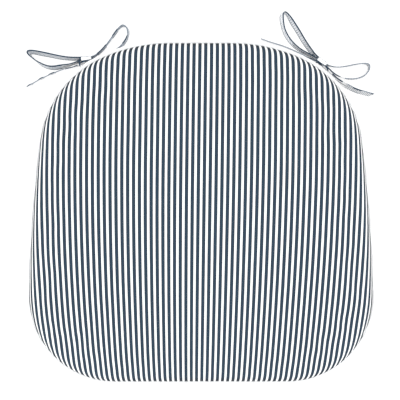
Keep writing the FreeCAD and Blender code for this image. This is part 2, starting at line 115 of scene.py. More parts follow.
# Where the navy selvedge shows: from, to (negative is from the far end), and how much further the tape
# turns there.
LEFT_OUTER_RUNS = [(0, 157, 0), (160, 177, 0), (-38, -31, 1.6), (-23, -15.6, 1.6), (-8, -1.5, 1.6)]
LEFT_INNER_RUNS = [(12.5, 28.5, 1.1), (40.5, 52, 1.1), (77, 88, 1.0)]
RIGHT_OUTER_RUNS = [(104, 128, 0), (150, 166, 0), (-27, -15, 0.5), (-3.5, 0, 0)]
RIGHT_INNER_RUNS = [(0, 178, 0)]
# Where the tape's face shows its white ground and a clear middle line: from, to.
LEFT_OUTER_CLEAR, RIGHT_OUTER_CLEAR = [(118, 178, 0)], [(98, 128, 0), (136, 172, 0)]
RIGHT_INNER_CLEAR = [(0, 14, 0), (118, 150, 0)]
LEFT_KNOT, LEFT_AIM, LEFT_ANCHOR = (-138.2, 184.7), 8.0, 32.3
RIGHT_KNOT, RIGHT_AIM, RIGHT_ANCHOR = (145.6, 180.9), -35.0, 35.7
KNOT_LONG, KNOT_DEEP, KNOT_TALL, KNOT_SQUARE = 12.6, 6.4, 13.0, 4.2     # the last is its section's power
# The knot's tucked-in end: places and heights of a folded corner of tape.
LEFT_TUCK = [(-144.6, 185.6, 12.9), (-146.2, 182.4, 13.0), (-146.1, 178.2, 12.9), (-145.1, 174.3, 12.3)]
RIGHT_TUCK = [(147.6, 176.6, 12.9), (150.4, 174.9, 13.0), (151.6, 173.4, 12.9), (152.8, 169.4, 12.4)]
TUCK_HALF_WIDE, TUCK_HALF_THICK, TUCK_CROWN = 0.85, 0.22, 0.1
# The doubled tape end sewn into the seam: distance out from the seam line, and height.
ANCHOR_COURSE = [(-0.7, 16.6), (-0.2, 15.9), (1.0, 15.7), (2.5, 15.6), (4.0, 15.3), (5.5, 14.3), (6.8, 12.6),
                 (8.0, 10.6)]
ANCHOR_HALF_WIDE, ANCHOR_HALF_THICK, ANCHOR_NARROWS = 5.6, 0.35, 0.35

# ---- zip and label ----
ZIP_TAPE_HALF, ZIP_TAPE_IN, ZIP_TAPE_WIDE, ZIP_TAPE_LEVELS = 160.0, 0.6, 13.2, (4.65, 5.15)
TOOTH_PITCH, TEETH_LONG, TOOTH_WIRE = 1.4, 288.0, 0.3
TOOTH_FROM, TOOTH_WIDE, TOOTH_Z, TOOTH_HIGH = 1.61, 0.9, 3.9, 0.45      # middle and size of the coil's turns
HEM_STEPS = ((0.25, 0.35), (0.35, 0.9), (0.1, 3.0), (3.0, 0.1), (5.0, 0.0))     # slot's folded edge: out, up
STITCH_OUT, STITCH_PITCH, STITCH_Z, STITCH_RADII = 2.6, 3.1, 0.2, (0.08, 0.24, 0.28, 0.24, 0.08)
LABEL_HALF_WIDE, LABEL_TURN, LABEL_ROLL, LABEL_TOP, LABEL_THICK = 17.0, 62.0, 16.0, 17.2, 0.35

# ---- camera and light ----
CAMERA_AT, CAMERA_LENS = (-0.0012, 0.0145, 0.640), 47.0         # metres, millimetres
# Lamps: place in metres, size and power.
LAMPS = [((0.06, -0.05, 1.6), 1.1, 22.5), ((-0.9, -1.1, 0.6), 0.8, 4.0), ((0.9, 0.9, 1.2), 0.9, 1.5)]
FLOOR_HALF = 30000.0


# ---- camera, looking straight down ----
def make_camera():
    data = bpy.data.cameras.new("camera")
    data.lens = CAMERA_LENS
    eye = bpy.data.objects.new("camera", data)
    eye.location = CAMERA_AT
    bpy.context.scene.collection.objects.link(eye)
    bpy.context.scene.camera = eye


make_camera()


# ---- mesh helpers ----
def add_mesh(name, points, faces, body=None, material=None, data=None, smooth=True):
    """A mesh object from points in millimetres, with named per-point vectors; closed ones face outward."""
    mesh = bpy.data.meshes.new(name)
    mesh.from_pydata([(x * MM, y * MM, z * MM) for x, y, z in points], [], faces)
    for key, values in (data or {}).items():
        layer = mesh.attributes.new(key, "FLOAT_VECTOR", "POINT")
        layer.data.foreach_set("vector", [c for v in values for c in v])
    mesh.polygons.foreach_set("use_smooth", [smooth] * len(faces))
    mesh.update()
    turned = bmesh.new()
    turned.from_mesh(mesh)
    bmesh.ops.recalc_face_normals(turned, faces=turned.faces)
    turned.to_mesh(mesh)
    turned.free()
    obj = bpy.data.objects.new(name, mesh)
    bpy.context.scene.collection.objects.link(obj)
    if material:
        mesh.materials.append(material)
    if body:
        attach(obj, body)
    return obj


def grid_faces(rows, columns, closed_columns=False, start=0):
    """Quads over rows x columns of points."""
    faces = []
    for r in range(rows - 1):
        for c in range(columns if closed_columns else columns - 1):
            a, b = start + r * columns + c, start + r * columns + (c + 1) % columns
            faces.append((a, b, b + columns, a + columns))
    return faces


def plate_faces(rows, columns):
    """Faces of a thin plate: two stacked grids of points and the rim between them."""
    per = rows * columns
    rim = (list(range(columns)) + [columns * r + columns - 1 for r in range(1, rows)]
           + [per - 2 - c for c in range(columns - 1)] + [columns * r for r in range(rows - 2, 0, -1)])
    return (grid_faces(rows, columns) + grid_faces(rows, columns, start=per)
            + [(a, b, b + per, a + per) for a, b in zip(rim, rim[1:] + rim[:1])])


def swept(centres, sides, section, closed=False):
    """Rings of section(i, centre, across, up) along a line; returns points and faces."""
    points, count = [], len(centres)
    for i, here in enumerate(centres):
        before = centres[(i - 1) % count] if closed else centres[max(i - 1, 0)]
        after = centres[(i + 1) % count] if closed else centres[min(i + 1, count - 1)]
        way = (after - before).normalized()
        across = Vector((-way.y, way.x, 0))
        if across.length < 1e-6:
            across = Vector((1, 0, 0))
        across.normalize()
        points += section(i, here, across, way.cross(across) * -1.0)
    faces = grid_faces(count, sides, True)
    if closed:
        last = (count - 1) * sides
        faces += [(last + c, last + (c + 1) % sides, (c + 1) % sides, c) for c in range(sides)]
    else:
        faces.append(tuple(range(sides))[::-1])
        faces.append(tuple(range((count - 1) * sides, count * sides)))
    return points, faces


def wire(centres, radius, sides, closed=False):
    """A plain round wire."""
    def ring(_, here, across, up):
        turns = [TAU * k / sides for k in range(sides)]
        return [here + across * (radius * math.cos(t)) + up * (radius * math.sin(t)) for t in turns]
    return swept(centres, sides, ring, closed)


def joined(parts):
    """Several (points, faces) as one."""
    points, faces = [], []
    for p, f in parts:
        base = len(points)
        points += list(p)
        faces += [tuple(i + base for i in face) for face in f]
    return points, faces


# ---- the seam line ----
def seam_arcs():
    """The right half's arcs as (centre x, centre y, radius, start angle, end angle), clockwise from +Y."""
    spans = SPANS + [(FRONT_CORNER_RADIUS, 180.0 - sum(turn for _, turn in SPANS))]
    x, y, angle, arcs = REAR_FLAT_HALF, REAR_Y, 0.0, []
    for radius, turn in spans:
        a, b = math.radians(angle), math.radians(angle + turn)
        cx, cy = x - radius * math.sin(a), y - radius * math.cos(a)
        arcs.append((cx, cy, radius, a, b))
        x, y, angle = cx + radius * math.sin(b), cy + radius * math.cos(b), angle + turn
    return arcs


ARCS = seam_arcs()
FRONT_FLAT_HALF, FRONT_Y = ARCS[-1][0], ARCS[-1][1] - FRONT_CORNER_RADIUS
HALF_ROUND = REAR_FLAT_HALF + sum(r * (b - a) for _, _, r, a, b in ARCS) + FRONT_FLAT_HALF


def seam_point(along):
    """Place and outward direction on the seam line, clockwise from the rear centre."""
    s = along % (2 * HALF_ROUND)
    side = 1 if s <= HALF_ROUND else -1
    s = s if side == 1 else 2 * HALF_ROUND - s
    if s <= REAR_FLAT_HALF:
        return side * s, REAR_Y, 0.0, 1.0
    s -= REAR_FLAT_HALF
    for cx, cy, radius, a, b in ARCS:
        if s <= radius * (b - a):
            t = a + s / radius
            nx, ny = math.sin(t), math.cos(t)
            return side * (cx + radius * nx), cy + radius * ny, side * nx, ny
        s -= radius * (b - a)
    return side * (FRONT_FLAT_HALF - s), FRONT_Y, 0.0, -1.0


def outside(angle, side, out, height):
    """A point by the rear corner, out from the seam line at that angle."""
    cx, cy, radius, _, _ = ARCS[1]
    a = math.radians(angle)
    return Vector((side * (cx + (radius + out) * math.sin(a)), cy + (radius + out) * math.cos(a), height))


# ---- cover and filling ----
# Distances of the rings from the seam, close together over the roll, then shares of the last ring's size.
INSETS = [0, 0.25, 0.6, 1.1, 1.7, 2.5, 3.5, 4.6, 6, 7.5, 9, 11, 13, 15, 17.5, 20, 23, 26, 30, 34, 39, 44,
          50, 57, 65, 73, 81, DEEPEST]
SHRINKS = [0.93, 0.85, 0.75, 0.64, 0.52, 0.4, 0.27, 0.14]
MIDDLE = (0.0, 4.0)
TO_MIDDLE = 110.0                           # from the last full ring to the middle
REST_DEEP, REST_BEND, REST_SHAPE = 18.9, 16.5, 2.2     # underside: depth, width and power of its bend


def crowned(inset, ny):
    """Height of the top cover above its seam edge."""
    q = min(max(0.0, inset - VALLEY) / ROLL_DEEP, 1.0)
    roll = ROLL_HIGH * math.sqrt(max(0.0, 1 - (1 - q) ** 2))
    return roll + DOME_HIGH * (1 - math.exp(-inset / (DOME_REACH + DOME_REACH_ENDS * ny * ny)))


def underside(inset, ny):
    """Depth of the bottom cover below its seam edge; it is flat where the pad rests."""
    q = min(inset / REST_BEND, 1.0)
    return REST_DEEP * math.sqrt(max(0.0, 1 - (1 - q) ** REST_SHAPE))


def soft(x, y, inset, along):
    """Slight unevenness of a filled cover: slow lumps, and small puckers along the seam."""
    free = 1 - math.exp(-inset / 9.0)
    lumps = noise.noise(Vector((x / 62, y / 62, 3.1))) * 0.75
    lumps += noise.noise(Vector((x / 24, y / 24, 7.7))) * 0.22
    pucker = math.sin(along / 1.9 + 2.2 * noise.noise(Vector((x / 30, y / 30, 1.0))))
    return free * lumps + 0.22 * pucker * math.exp(-inset / 5.0) * (1 - math.exp(-inset / 0.8))


def stripe_index(x, y):
    """Which stripe of the ticking lies at a place of the cover."""
    period = STRIPE - EASE * max(0.0, EASE_FROM - y) ** 2
    return (x - STRIPE_SHIFT - STRIPE_LEAN * y) / period + STRIPE_PHASE


def blanket(height, inset0=0.0, spokes=SPOKES, stripe=stripe_index):
    """A sheet of rings from the seam to the middle; height(inset, ny, x, y, along) gives z.
    The cloth layer holds stripe number, distance along the stripe, and distance from the seam."""
    plan, around = [], [2 * HALF_ROUND * k / spokes for k in range(spokes)]
    seam = [seam_point(s) for s in around]
    for inset in [i for i in INSETS if i >= inset0]:
        plan.append([(x - nx * inset, y - ny * inset, inset, nx, ny) for x, y, nx, ny in seam])
    deepest = plan[-1]
    for shrink in SHRINKS:
        plan.append([(MIDDLE[0] + (x - MIDDLE[0]) * shrink, MIDDLE[1] + (y - MIDDLE[1]) * shrink,
                      DEEPEST + (1 - shrink) * TO_MIDDLE, nx, ny) for x, y, _, nx, ny in deepest])
    rows = [[Vector((x, y, height(i, ny, x, y, s))) for (x, y, i, nx, ny), s in zip(row, around)]
            for row in plan]
    middle = Vector((*MIDDLE, sum(p.z for p in rows[-1]) / spokes))
    extra = [0.0] * spokes
    cloth = []
    for r in range(len(rows) - 1, -1, -1):
        line = []
        for c in range(spokes):
            if r + 1 < len(rows):
                step = rows[r][c] - rows[r + 1][c]
                extra[c] += step.length - math.hypot(step.x, step.y)
            x, y, inset, nx, ny = plan[r][c]
            line.append((stripe(x + nx * extra[c], y), (y + ny * extra[c]) * MM, inset * MM))
        cloth.append(line)
    cloth = [v for line in reversed(cloth) for v in line] + [(stripe(*MIDDLE), MIDDLE[1] * MM, 0.2)]
    points = [p for row in rows for p in row] + [middle]
    faces = grid_faces(len(rows), spokes, True)
    last = (len(rows) - 1) * spokes
    faces += [(last + c, last + (c + 1) % spokes, len(points) - 1) for c in range(spokes)]
    return points, faces, {"cloth": cloth}


# ---- materials ----
class Look:
    """A node material being built."""

    def __init__(self, name, roughness=0.85, specular=0.25):
        self.material = bpy.data.materials.new(name)
        self.material.use_nodes = True
        self.tree = self.material.node_tree
        self.tree.nodes.clear()
        self.shader = self.tree.nodes.new("ShaderNodeBsdfPrincipled")
        out = self.tree.nodes.new("ShaderNodeOutputMaterial")
        self.tree.links.new(self.shader.outputs[0], out.inputs["Surface"])
        self.shader.inputs["Roughness"].default_value = roughness
        self.shader.inputs["Specular IOR Level"].default_value = specular

    def feed(self, socket, value):
        if isinstance(value, bpy.types.NodeSocket):
            self.tree.links.new(value, socket)
        else:
            socket.default_value = value

    def math(self, operation, *values):
        node = self.tree.nodes.new("ShaderNodeMath")
        node.operation = operation
        for socket, value in zip(node.inputs, values):
            self.feed(socket, value)
        return node.outputs[0]

    def times(self, a, b):
        return self.math("MULTIPLY", a, b)

    def parts(self, vector):
        """The three numbers of a vector."""
        split = self.tree.nodes.new("ShaderNodeSeparateXYZ")
        self.tree.links.new(vector, split.inputs[0])
        return split.outputs

    def layer(self, name):
        """A per-point layer as a vector and as its three numbers."""
        node = self.tree.nodes.new("ShaderNodeAttribute")
        node.attribute_name = name
        return node.outputs["Vector"], self.parts(node.outputs["Vector"])

    def place(self):
        """Position in the object's own frame."""
        return self.tree.nodes.new("ShaderNodeTexCoord").outputs["Object"]

    def stretch(self, vector, factors):
        node = self.tree.nodes.new("ShaderNodeVectorMath")
        node.operation = "MULTIPLY"
        self.tree.links.new(vector, node.inputs[0])
        node.inputs[1].default_value = factors
        return node.outputs[0]

    def noise(self, vector, scale, detail):
        node = self.tree.nodes.new("ShaderNodeTexNoise")
        self.tree.links.new(vector, node.inputs["Vector"])
        node.inputs["Scale"].default_value = scale
        node.inputs["Detail"].default_value = detail
        return node.outputs["Fac"]

    def smooth(self, value, low, high, start=0.0, end=1.0):
        node = self.tree.nodes.new("ShaderNodeMapRange")
        node.interpolation_type = "SMOOTHSTEP"
        for socket, v in zip(node.inputs, (value, low, high, start, end)):
            self.feed(socket, v)
        return node.outputs[0]

    def mix(self, factor, a, b):
        node = self.tree.nodes.new("ShaderNodeMix")
        node.data_type = "RGBA"
        for k, v in ((0, factor), (6, a), (7, b)):
            self.feed(node.inputs[k], v if k == 0 or isinstance(v, bpy.types.NodeSocket) else (*v, 1.0))
        return node.outputs[2]

    def band(self, value, half, soft_edge):
        """1 within half a share of each whole number, falling softly to 0."""
        share = self.math("FRACT", self.math("ADD", value, 0.5))
        off = self.math("ABSOLUTE", self.math("SUBTRACT", share, 0.5))
        return self.smooth(off, half + soft_edge, half - soft_edge)

    def wave(self, value, pitch):
        return self.math("SINE", self.times(value, TAU / pitch))

    def finish(self, colour, height=None, strength=0.4, distance=0.0002, sheen=0.0):
        self.feed(self.shader.inputs["Base Color"], colour)
        if sheen:
            self.shader.inputs["Sheen Weight"].default_value = sheen
            self.shader.inputs["Sheen Roughness"].default_value = 0.5
        if height is not None:
            bump = self.tree.nodes.new("ShaderNodeBump")
            bump.inputs["Strength"].default_value = strength
            bump.inputs["Distance"].default_value = distance
            self.tree.links.new(height, bump.inputs["Height"])
            self.tree.links.new(bump.outputs[0], self.shader.inputs["Normal"])
        return self.material


WHITE_CLOTH = (0.86, 0.865, 0.87)
NAVY_DARK, NAVY = (0.008, 0.018, 0.036), (0.020, 0.037, 0.060)


def ticking():
    """Cotton ticking: woven navy and white stripes in a fine twill, with painted shade on both over the roll
    beside the seam.
    """
    look = Look("ticking_stripe", roughness=0.88, specular=0.2)
    vector, (index, along, rim) = look.layer("cloth")
    yarn = look.noise(look.stretch(vector, (7.0, 900.0, 0.0)), 1.0, 1.0)
    wobble = look.times(look.math("SUBTRACT", yarn, 0.5), 0.03)
    number = look.math("ADD", index, wobble)
    navy = look.band(number, NAVY_SHARE / 2, 0.022)
    core = look.band(number, NAVY_SHARE / 2 - 0.10, 0.07)
    streak = look.noise(look.stretch(vector, (9.0, 14.0, 0.0)), 1.0, 3.0)
    cloudy = look.noise(look.place(), 16.0, 2.0)
    navy_dye_and_roll_shade = look.mix(core, NAVY_DARK, NAVY)
    navy_dye_and_roll_shade = look.mix(look.times(streak, 0.35), navy_dye_and_roll_shade, (0.030, 0.052, 0.076))
    # Painted shade: the navy turns near black over the roll, within 9 mm of the seam.
    navy_dye_and_roll_shade = look.mix(look.smooth(rim, 9.0 * MM, 0.6 * MM, 0.0, 0.85), navy_dye_and_roll_shade, (0.003, 0.007, 0.014))
    pale = look.mix(look.times(cloudy, 0.25), WHITE_CLOTH, (0.80, 0.81, 0.82))
    # Painted shade: the white stripes turn grey over the last 4 mm before the seam.
    pale = look.mix(look.smooth(rim, 4.0 * MM, 0.3 * MM, 0.0, 0.15), pale, (0.10, 0.12, 0.15))
    colour = look.mix(navy, pale, navy_dye_and_roll_shade)
    across = look.times(index, STRIPE * MM)
    twill = look.wave(look.math("ADD", across, along), 0.75 * MM)
    threads = look.times(look.wave(across, 0.55 * MM), look.wave(along, 0.55 * MM))
    weave = look.math("ADD", look.times(twill, 0.6), look.times(threads, 0.5))
    return look.finish(colour, weave, strength=0.2, distance=0.0001, sheen=0.05)


def plain_cotton(name, pitch, tone=WHITE_CLOTH, dark=(0.74, 0.75, 0.77)):
    """Plain weave on the bias; the bias layer holds the distances along and across, in metres."""
    look = Look(name, roughness=0.9, specular=0.2)
    vector, (along, across, _) = look.layer("bias")
    one = look.wave(look.math("ADD", along, across), pitch)
    two = look.wave(look.math("SUBTRACT", along, across), pitch)
    cloudy = look.noise(look.stretch(vector, (60.0, 60.0, 1.0)), 1.0, 3.0)
    colour = look.mix(look.times(cloudy, 0.35), tone, dark)
    return look.finish(colour, look.times(one, two), strength=0.35, distance=0.00015, sheen=0.1)


def tape(name, hatch, middle, rows=0.0, tone=(0.90, 0.905, 0.91), pitch=2.9):
    """Narrow woven tie tape: selvedges that are navy in runs and grey between, a broken navy line along the
    middle, and a slanting hatch. The tape layer holds distance along, height across, and the navy runs."""
    look = Look(name, roughness=0.85, specular=0.2)
    vector, (along, across, run) = look.layer("tape")
    clear = look.layer("clear")[1][0]
    from_edge = look.math("MINIMUM", across, look.math("SUBTRACT", TAPE_WIDE * MM, across))
    rim = look.smooth(from_edge, 0.45 * MM, 0.15 * MM)
    selvedge = look.times(look.smooth(from_edge, 2.1 * MM, 1.7 * MM), run)
    off = look.math("ABSOLUTE", look.math("SUBTRACT", across, TAPE_WIDE / 2 * MM))
    slant = look.math("DIVIDE", look.math("ADD", along, look.times(across, 0.9)), pitch * MM)
    broken = look.band(slant, 0.24, 0.06)
    line = look.times(look.smooth(off, 0.9 * MM, 0.5 * MM),
                      look.math("MAXIMUM", look.times(broken, middle), clear))
    hatching = look.times(look.times(broken, hatch), look.math("SUBTRACT", 1.0, clear))
    beside = look.math("ABSOLUTE", look.math("SUBTRACT", off, 1.9 * MM))
    dots = look.times(look.smooth(beside, 0.95 * MM, 0.55 * MM), look.times(broken, rows))
    cloudy = look.noise(look.stretch(vector, (120.0, 120.0, 1.0)), 1.0, 2.0)
    # Outside the clear runs the ground takes the tie's tone; for some ties that tone holds painted shade or
    # painted light.
    ground = look.mix(clear, tone, (0.95, 0.95, 0.95))
    ground = look.mix(look.times(cloudy, 0.3), ground, (0.78, 0.79, 0.81))
    colour = look.mix(look.math("MAXIMUM", hatching, dots), ground, (0.045, 0.080, 0.125))
    worn = look.times(rim, look.math("SUBTRACT", 0.9, look.times(clear, 0.65)))
    colour = look.mix(worn, colour, (0.085, 0.125, 0.175))
    dark = look.math("MAXIMUM", selvedge, line)
    colour = look.mix(dark, colour, (0.014, 0.040, 0.075))
    ribs = look.wave(along, 0.8 * MM)
    twill = look.wave(look.math("ADD", along, across), 1.1 * MM)
    return look.finish(colour, look.math("ADD", ribs, twill), strength=0.35, distance=0.00012, sheen=0.05)


def knot_cloth(name, front, rear, low):
    """White wrap of the knot: navy selvedge along the upper front edge, a faint one behind, painted shade in
    the creases at the ends. The tape layer holds distance along the knot, distance towards the rear, and
    height."""
    look = Look(name, roughness=0.88, specular=0.2)
    vector, (along, back, height) = look.layer("tape")
    near = look.times(look.smooth(back, (front + 0.2) * MM, (front - 0.2) * MM),
                     look.smooth(height, (low - 0.3) * MM, (low + 0.3) * MM))
    far = look.times(look.smooth(back, (rear - 0.15) * MM, (rear + 0.15) * MM, 0.0, 0.9),
                    look.smooth(height, 10.6 * MM, 11.2 * MM))
    end_crease_shade = look.smooth(look.math("ABSOLUTE", along), 5.8 * MM, 6.2 * MM, 0.0, 0.4)
    cloudy = look.noise(look.stretch(vector, (150.0, 150.0, 150.0)), 1.0, 2.0)
    colour = look.mix(look.times(cloudy, 0.2), WHITE_CLOTH, (0.72, 0.74, 0.77))
    colour = look.mix(far, colour, (0.16, 0.21, 0.27))
    # Painted shade: the wrap darkens in the creases at both ends.
    colour = look.mix(end_crease_shade, colour, (0.05, 0.075, 0.11))
    colour = look.mix(near, colour, (0.020, 0.040, 0.068))
    ribs = look.math("ADD", look.wave(along, 0.8 * MM), look.wave(look.math("ADD", back, height), 0.9 * MM))
    return look.finish(colour, ribs, strength=0.3, distance=0.00012, sheen=0.05)


def thread(name, colour):
    look = Look(name, roughness=0.6, specular=0.3)
    twist = look.noise(look.place(), 2600.0, 1.0)
    tinted = look.mix(look.times(twist, 0.3), colour, (0.55, 0.56, 0.58))
    return look.finish(tinted, twist, 0.3, 0.00008)


def foam():
    look = Look("foam", roughness=0.95, specular=0.1)
    cells = look.noise(look.place(), 700.0, 3.0)
    return look.finish(look.mix(cells, (0.78, 0.72, 0.52), (0.86, 0.81, 0.63)), cells, 0.6, 0.0004)


def fleece():
    look = Look("wadding", roughness=0.95, specular=0.1)
    fibres = look.noise(look.stretch(look.place(), (300.0, 90.0, 200.0)), 1.0, 4.0)
    colour = look.mix(fibres, (0.80, 0.80, 0.80), (0.9, 0.9, 0.9))
    return look.finish(colour, fibres, 0.6, 0.0005, sheen=0.2)


def metal():
    look = Look("nickel", roughness=0.28, specular=0.5)
    look.shader.inputs["Metallic"].default_value = 1.0
    fine = look.noise(look.stretch(look.place(), (400.0, 3000.0, 3000.0)), 1.0, 2.0)
    return look.finish(look.mix(fine, (0.60, 0.60, 0.62), (0.70, 0.70, 0.71)), fine, 0.08, 0.00005)


def nylon():
    look = Look("nylon_coil", roughness=0.35, specular=0.5)
    tint = look.noise(look.place(), 300.0, 1.0)
    return look.finish(look.mix(tint, (0.82, 0.82, 0.83), (0.88, 0.88, 0.88)), tint, 0.05, 0.00005)


def satin():
    look = Look("label_satin", roughness=0.4, specular=0.4)
    vector = look.place()
    ribs = look.wave(look.parts(vector)[0], 0.35 * MM)
    tint = look.noise(vector, 90.0, 2.0)
    colour = look.mix(tint, (0.86, 0.86, 0.85), (0.91, 0.91, 0.90))
    return look.finish(colour, ribs, 0.15, 0.00008, sheen=0.2)


TICKING = ticking()
WHITE_BIAS = plain_cotton("piping_cotton", 0.62 * MM)
ZIP_TWILL = plain_cotton("zip_twill", 0.7 * MM, (0.84, 0.84, 0.83), (0.76, 0.76, 0.77))
THREAD = thread("white_thread", (0.84, 0.84, 0.84))


# ---- ties first ----
def read_route(name, points):
    """A smooth line with the route's points as control points, read back as places in millimetres."""
    curve = bpy.data.curves.new(name, "CURVE")
    curve.dimensions = "3D"
    curve.resolution_u = 10
    spline = curve.splines.new("NURBS")
    spline.points.add(len(points) - 1)
    for control, (x, y) in zip(spline.points, points):
        control.co = (x * MM, y * MM, (TAPE_LOW + TAPE_WIDE / 2) * MM, 1.0)
    spline.order_u = 3
    spline.use_endpoint_u = True
    carrier = bpy.data.objects.new(name, curve)
    line = [v.co / MM for v in bpy.data.meshes.new_from_object(carrier).vertices]
    bpy.data.objects.remove(carrier)
    return line


# Across the tape, clockwise: sideways share of half the thickness, height above the lower edge.
SECTION = [(-0.6, 0.0), (0.6, 0.0), (1.0, 0.4), (1.0, 1.5), (1.0, 4.0), (1.0, 6.0), (1.0, 8.0), (1.0, 10.5),
           (1.0, 11.6), (0.6, 12.0), (-0.6, 12.0), (-1.0, 11.6), (-1.0, 10.5), (-1.0, 8.0), (-1.0, 6.0),
           (-1.0, 4.0), (-1.0, 1.5), (-1.0, 0.4)]


def eased(stations, share):
    """Smooth value between evenly spaced stations."""
    at = share * (len(stations) - 1)
    k = min(int(at), len(stations) - 2)
    t = at - k
    t = t * t * (3 - 2 * t)
    return stations[k] * (1 - t) + stations[k + 1] * t


def run_share(runs, s, total):
    """How far a place lies inside a run, 0 to 1 with half-millimetre ends, and that run's extra turn."""
    best, turn = 0.0, 0.0
    for start, end, extra in runs:
        start, end = (start + total, end + total) if start < 0 else (start, end)
        inside = min(1.0, max(0.0, min(s - start, end - s) / 0.5))
        if inside > best:
            best, turn = inside, extra
    return best, turn


def make_tie(name, points, leans, runs, clear, body, material):
    """Tape standing on its edge along the route. It leans by the given stations, top edge against lower
    edge, shows navy selvedge in the given runs, and its far end is cut at a slant."""
    line = read_route(name, points)
    far = [0.0]
    for a, b in zip(line, line[1:]):
        far.append(far[-1] + (b - a).length)
    total, layer, faces_shown = far[-1], [], []

    def section(i, here, across, _):
        ring, s = [], far[i]
        way = Vector((across.y, -across.x, 0))
        lean = eased(leans, s / total)
        ripple = 0.12 * math.sin(s / 4.3) * min(1.0, s / 15.0)
        cut = max(0.0, 1 - (total - s) / END_CUT_OVER) * END_CUT
        navy, extra = run_share(runs, s, total)
        lean -= math.copysign(extra * navy, lean)
        shown = run_share(clear, s, total)[0]
        for share, up in SECTION:
            side = share * TAPE_FULL / 2 + lean * (up - 6) / 12 + ripple
            back = cut * (1 - up / TAPE_WIDE)
            ring.append(here + across * side - way * back + Vector((0, 0, up - 6)))
            layer.append(((s - back) * MM, up * MM, navy))
            faces_shown.append((shown, 0.0, 0.0))
        return ring

    mesh_points, faces = swept(line, len(SECTION), section)
    obj = add_mesh(name, mesh_points, faces, body, material, {"tape": layer, "clear": faces_shown})
    return obj, [p * MM for p in line], total * MM


# All four ties are one white tape. The left ties' greyer tones are painted shade on their faces, and the
# right inner tie's brighter, bluer tone is painted light against the shade between its facing branches.
TIES = [
    ("left_outer_tie", LEFT_OUTER, LEFT_OUTER_LEANS, LEFT_OUTER_RUNS, LEFT_OUTER_CLEAR,
     "left_bow", "left_tie_outer", dict(hatch=0.32, middle=0.1, tone=(0.70, 0.725, 0.755))),
    ("left_inner_tie", LEFT_INNER, LEFT_INNER_LEANS, LEFT_INNER_RUNS, [],
     "left_bow", "left_tie_inner", dict(hatch=0.85, middle=0.3, tone=(0.75, 0.79, 0.84))),
    ("right_outer_tie", RIGHT_OUTER, RIGHT_OUTER_LEANS, RIGHT_OUTER_RUNS, RIGHT_OUTER_CLEAR,
     "right_bow", "right_tie_outer", dict(hatch=0.75, middle=0.2, pitch=3.3)),
    ("right_inner_tie", RIGHT_INNER, RIGHT_INNER_LEANS, RIGHT_INNER_RUNS, RIGHT_INNER_CLEAR,
     "right_bow", "right_tie_inner", dict(hatch=0.0, rows=1.0, middle=0.0, tone=(0.95, 0.97, 1.0))),
]
ties = {}
for name, points, leans, runs, clear, body, node, pattern in TIES:
    obj, path, length = make_tie(name, points, leans, runs, clear, body, tape(name + "_tape", **pattern))
    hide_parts(node)
    ties[name] = (obj, path, length)


def make_knot(name, centre, aim, body, node):
    """The wrap round the middle of a bow: squarish, slimmer at both ends, with creases running into them."""
    along = Vector((math.cos(math.radians(aim)), math.sin(math.radians(aim)), 0))
    back = Vector((-along.y, along.x, 0))
    centre = Vector((*centre, 0.15 + KNOT_TALL / 2))
    rings, sides, points, layer = 25, 36, [], []
    for r in range(rings):
        b = -1 + 2 * r / (rings - 1)
        end = math.sqrt(max(0.0, 1 - abs(b) ** 6)) * 0.16 + 0.84
        full = end * (0.96 + 0.06 * b * b)
        for k in range(sides):
            t = TAU * k / sides
            c, s = math.cos(t), math.sin(t)
            square = (abs(c) ** KNOT_SQUARE + abs(s) ** KNOT_SQUARE) ** (-1 / KNOT_SQUARE)
            crease = 1 + 0.05 * math.sin(3 * t + 2.6 * b) * abs(b)
            crease += 0.03 * math.sin(9 * t + 5 * b) * (0.4 + abs(b))
            n = KNOT_DEEP / 2 * c * square * full * crease
            z = KNOT_TALL / 2 * s * square * full * (1 + 0.01 * math.sin(5 * t))
            place = centre + along * (b * KNOT_LONG / 2) + back * n
            place.z = max(0.1, place.z + z)
            points.append(place)
            layer.append((b * KNOT_LONG / 2 * MM, n * MM, place.z * MM))
    faces = grid_faces(rings, sides, True)
    for base, dent in ((0, 0.9), ((rings - 1) * sides, -0.9)):
        middle = sum(points[base:base + sides], Vector()) / sides + along * dent
        points.append(middle)
        layer.append((layer[base][0], 0.0, middle.z * MM))
        faces += [(base + k, base + (k + 1) % sides, len(points) - 1) for k in range(sides)]
    cloth = knot_cloth(name + "_cloth", front=-1.9, rear=1.95, low=6.0)
    obj = add_mesh(name, points, faces, body, cloth, {"tape": layer})
    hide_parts(node)
    return obj


def make_tuck(name, course, body):
    """The wrap's tucked-in end: a folded corner of tape, navy side out, lying over the other tapes."""
    line = read_route(name, [(x, y) for x, y, _ in course])
    for k, p in enumerate(line):
        at = k / (len(line) - 1) * (len(course) - 1)
        near = min(int(at), len(course) - 2)
        p.z = course[near][2] + (course[near + 1][2] - course[near][2]) * (at - near)
    layer = []

    def section(i, here, across, _):
        taper = min(1.0, 0.35 + (len(line) - 1 - i) / 8, 0.4 + i / 12)
        ring = []
        for w, h in ((-1, -1), (0, -1), (1, -1), (1, 1), (0, 1), (-1, 1)):
            high = TUCK_HALF_THICK * h + TUCK_CROWN * (w == 0) * h
            ring.append(here + across * (TUCK_HALF_WIDE * taper * w) + Vector((0, 0, high)))
            layer.append((i * 0.4 * MM, w * MM, 0.0))
        return ring

    points, faces = swept(line, 6, section)
    look = Look(name + "_tape")
    _, (along, across, _) = look.layer("tape")
    thin = look.smooth(look.math("ABSOLUTE", across), 0.5 * MM, 1.0 * MM)
    colour = look.mix(thin, (0.014, 0.032, 0.058), (0.05, 0.08, 0.12))
    cloth = look.finish(colour, look.wave(along, 0.8 * MM), 0.3, 0.0001)
    add_mesh(name, points, faces, body, cloth, {"tape": layer})


make_tuck("left_knot_tuck", LEFT_TUCK, "left_bow")
make_tuck("right_knot_tuck", RIGHT_TUCK, "right_bow")

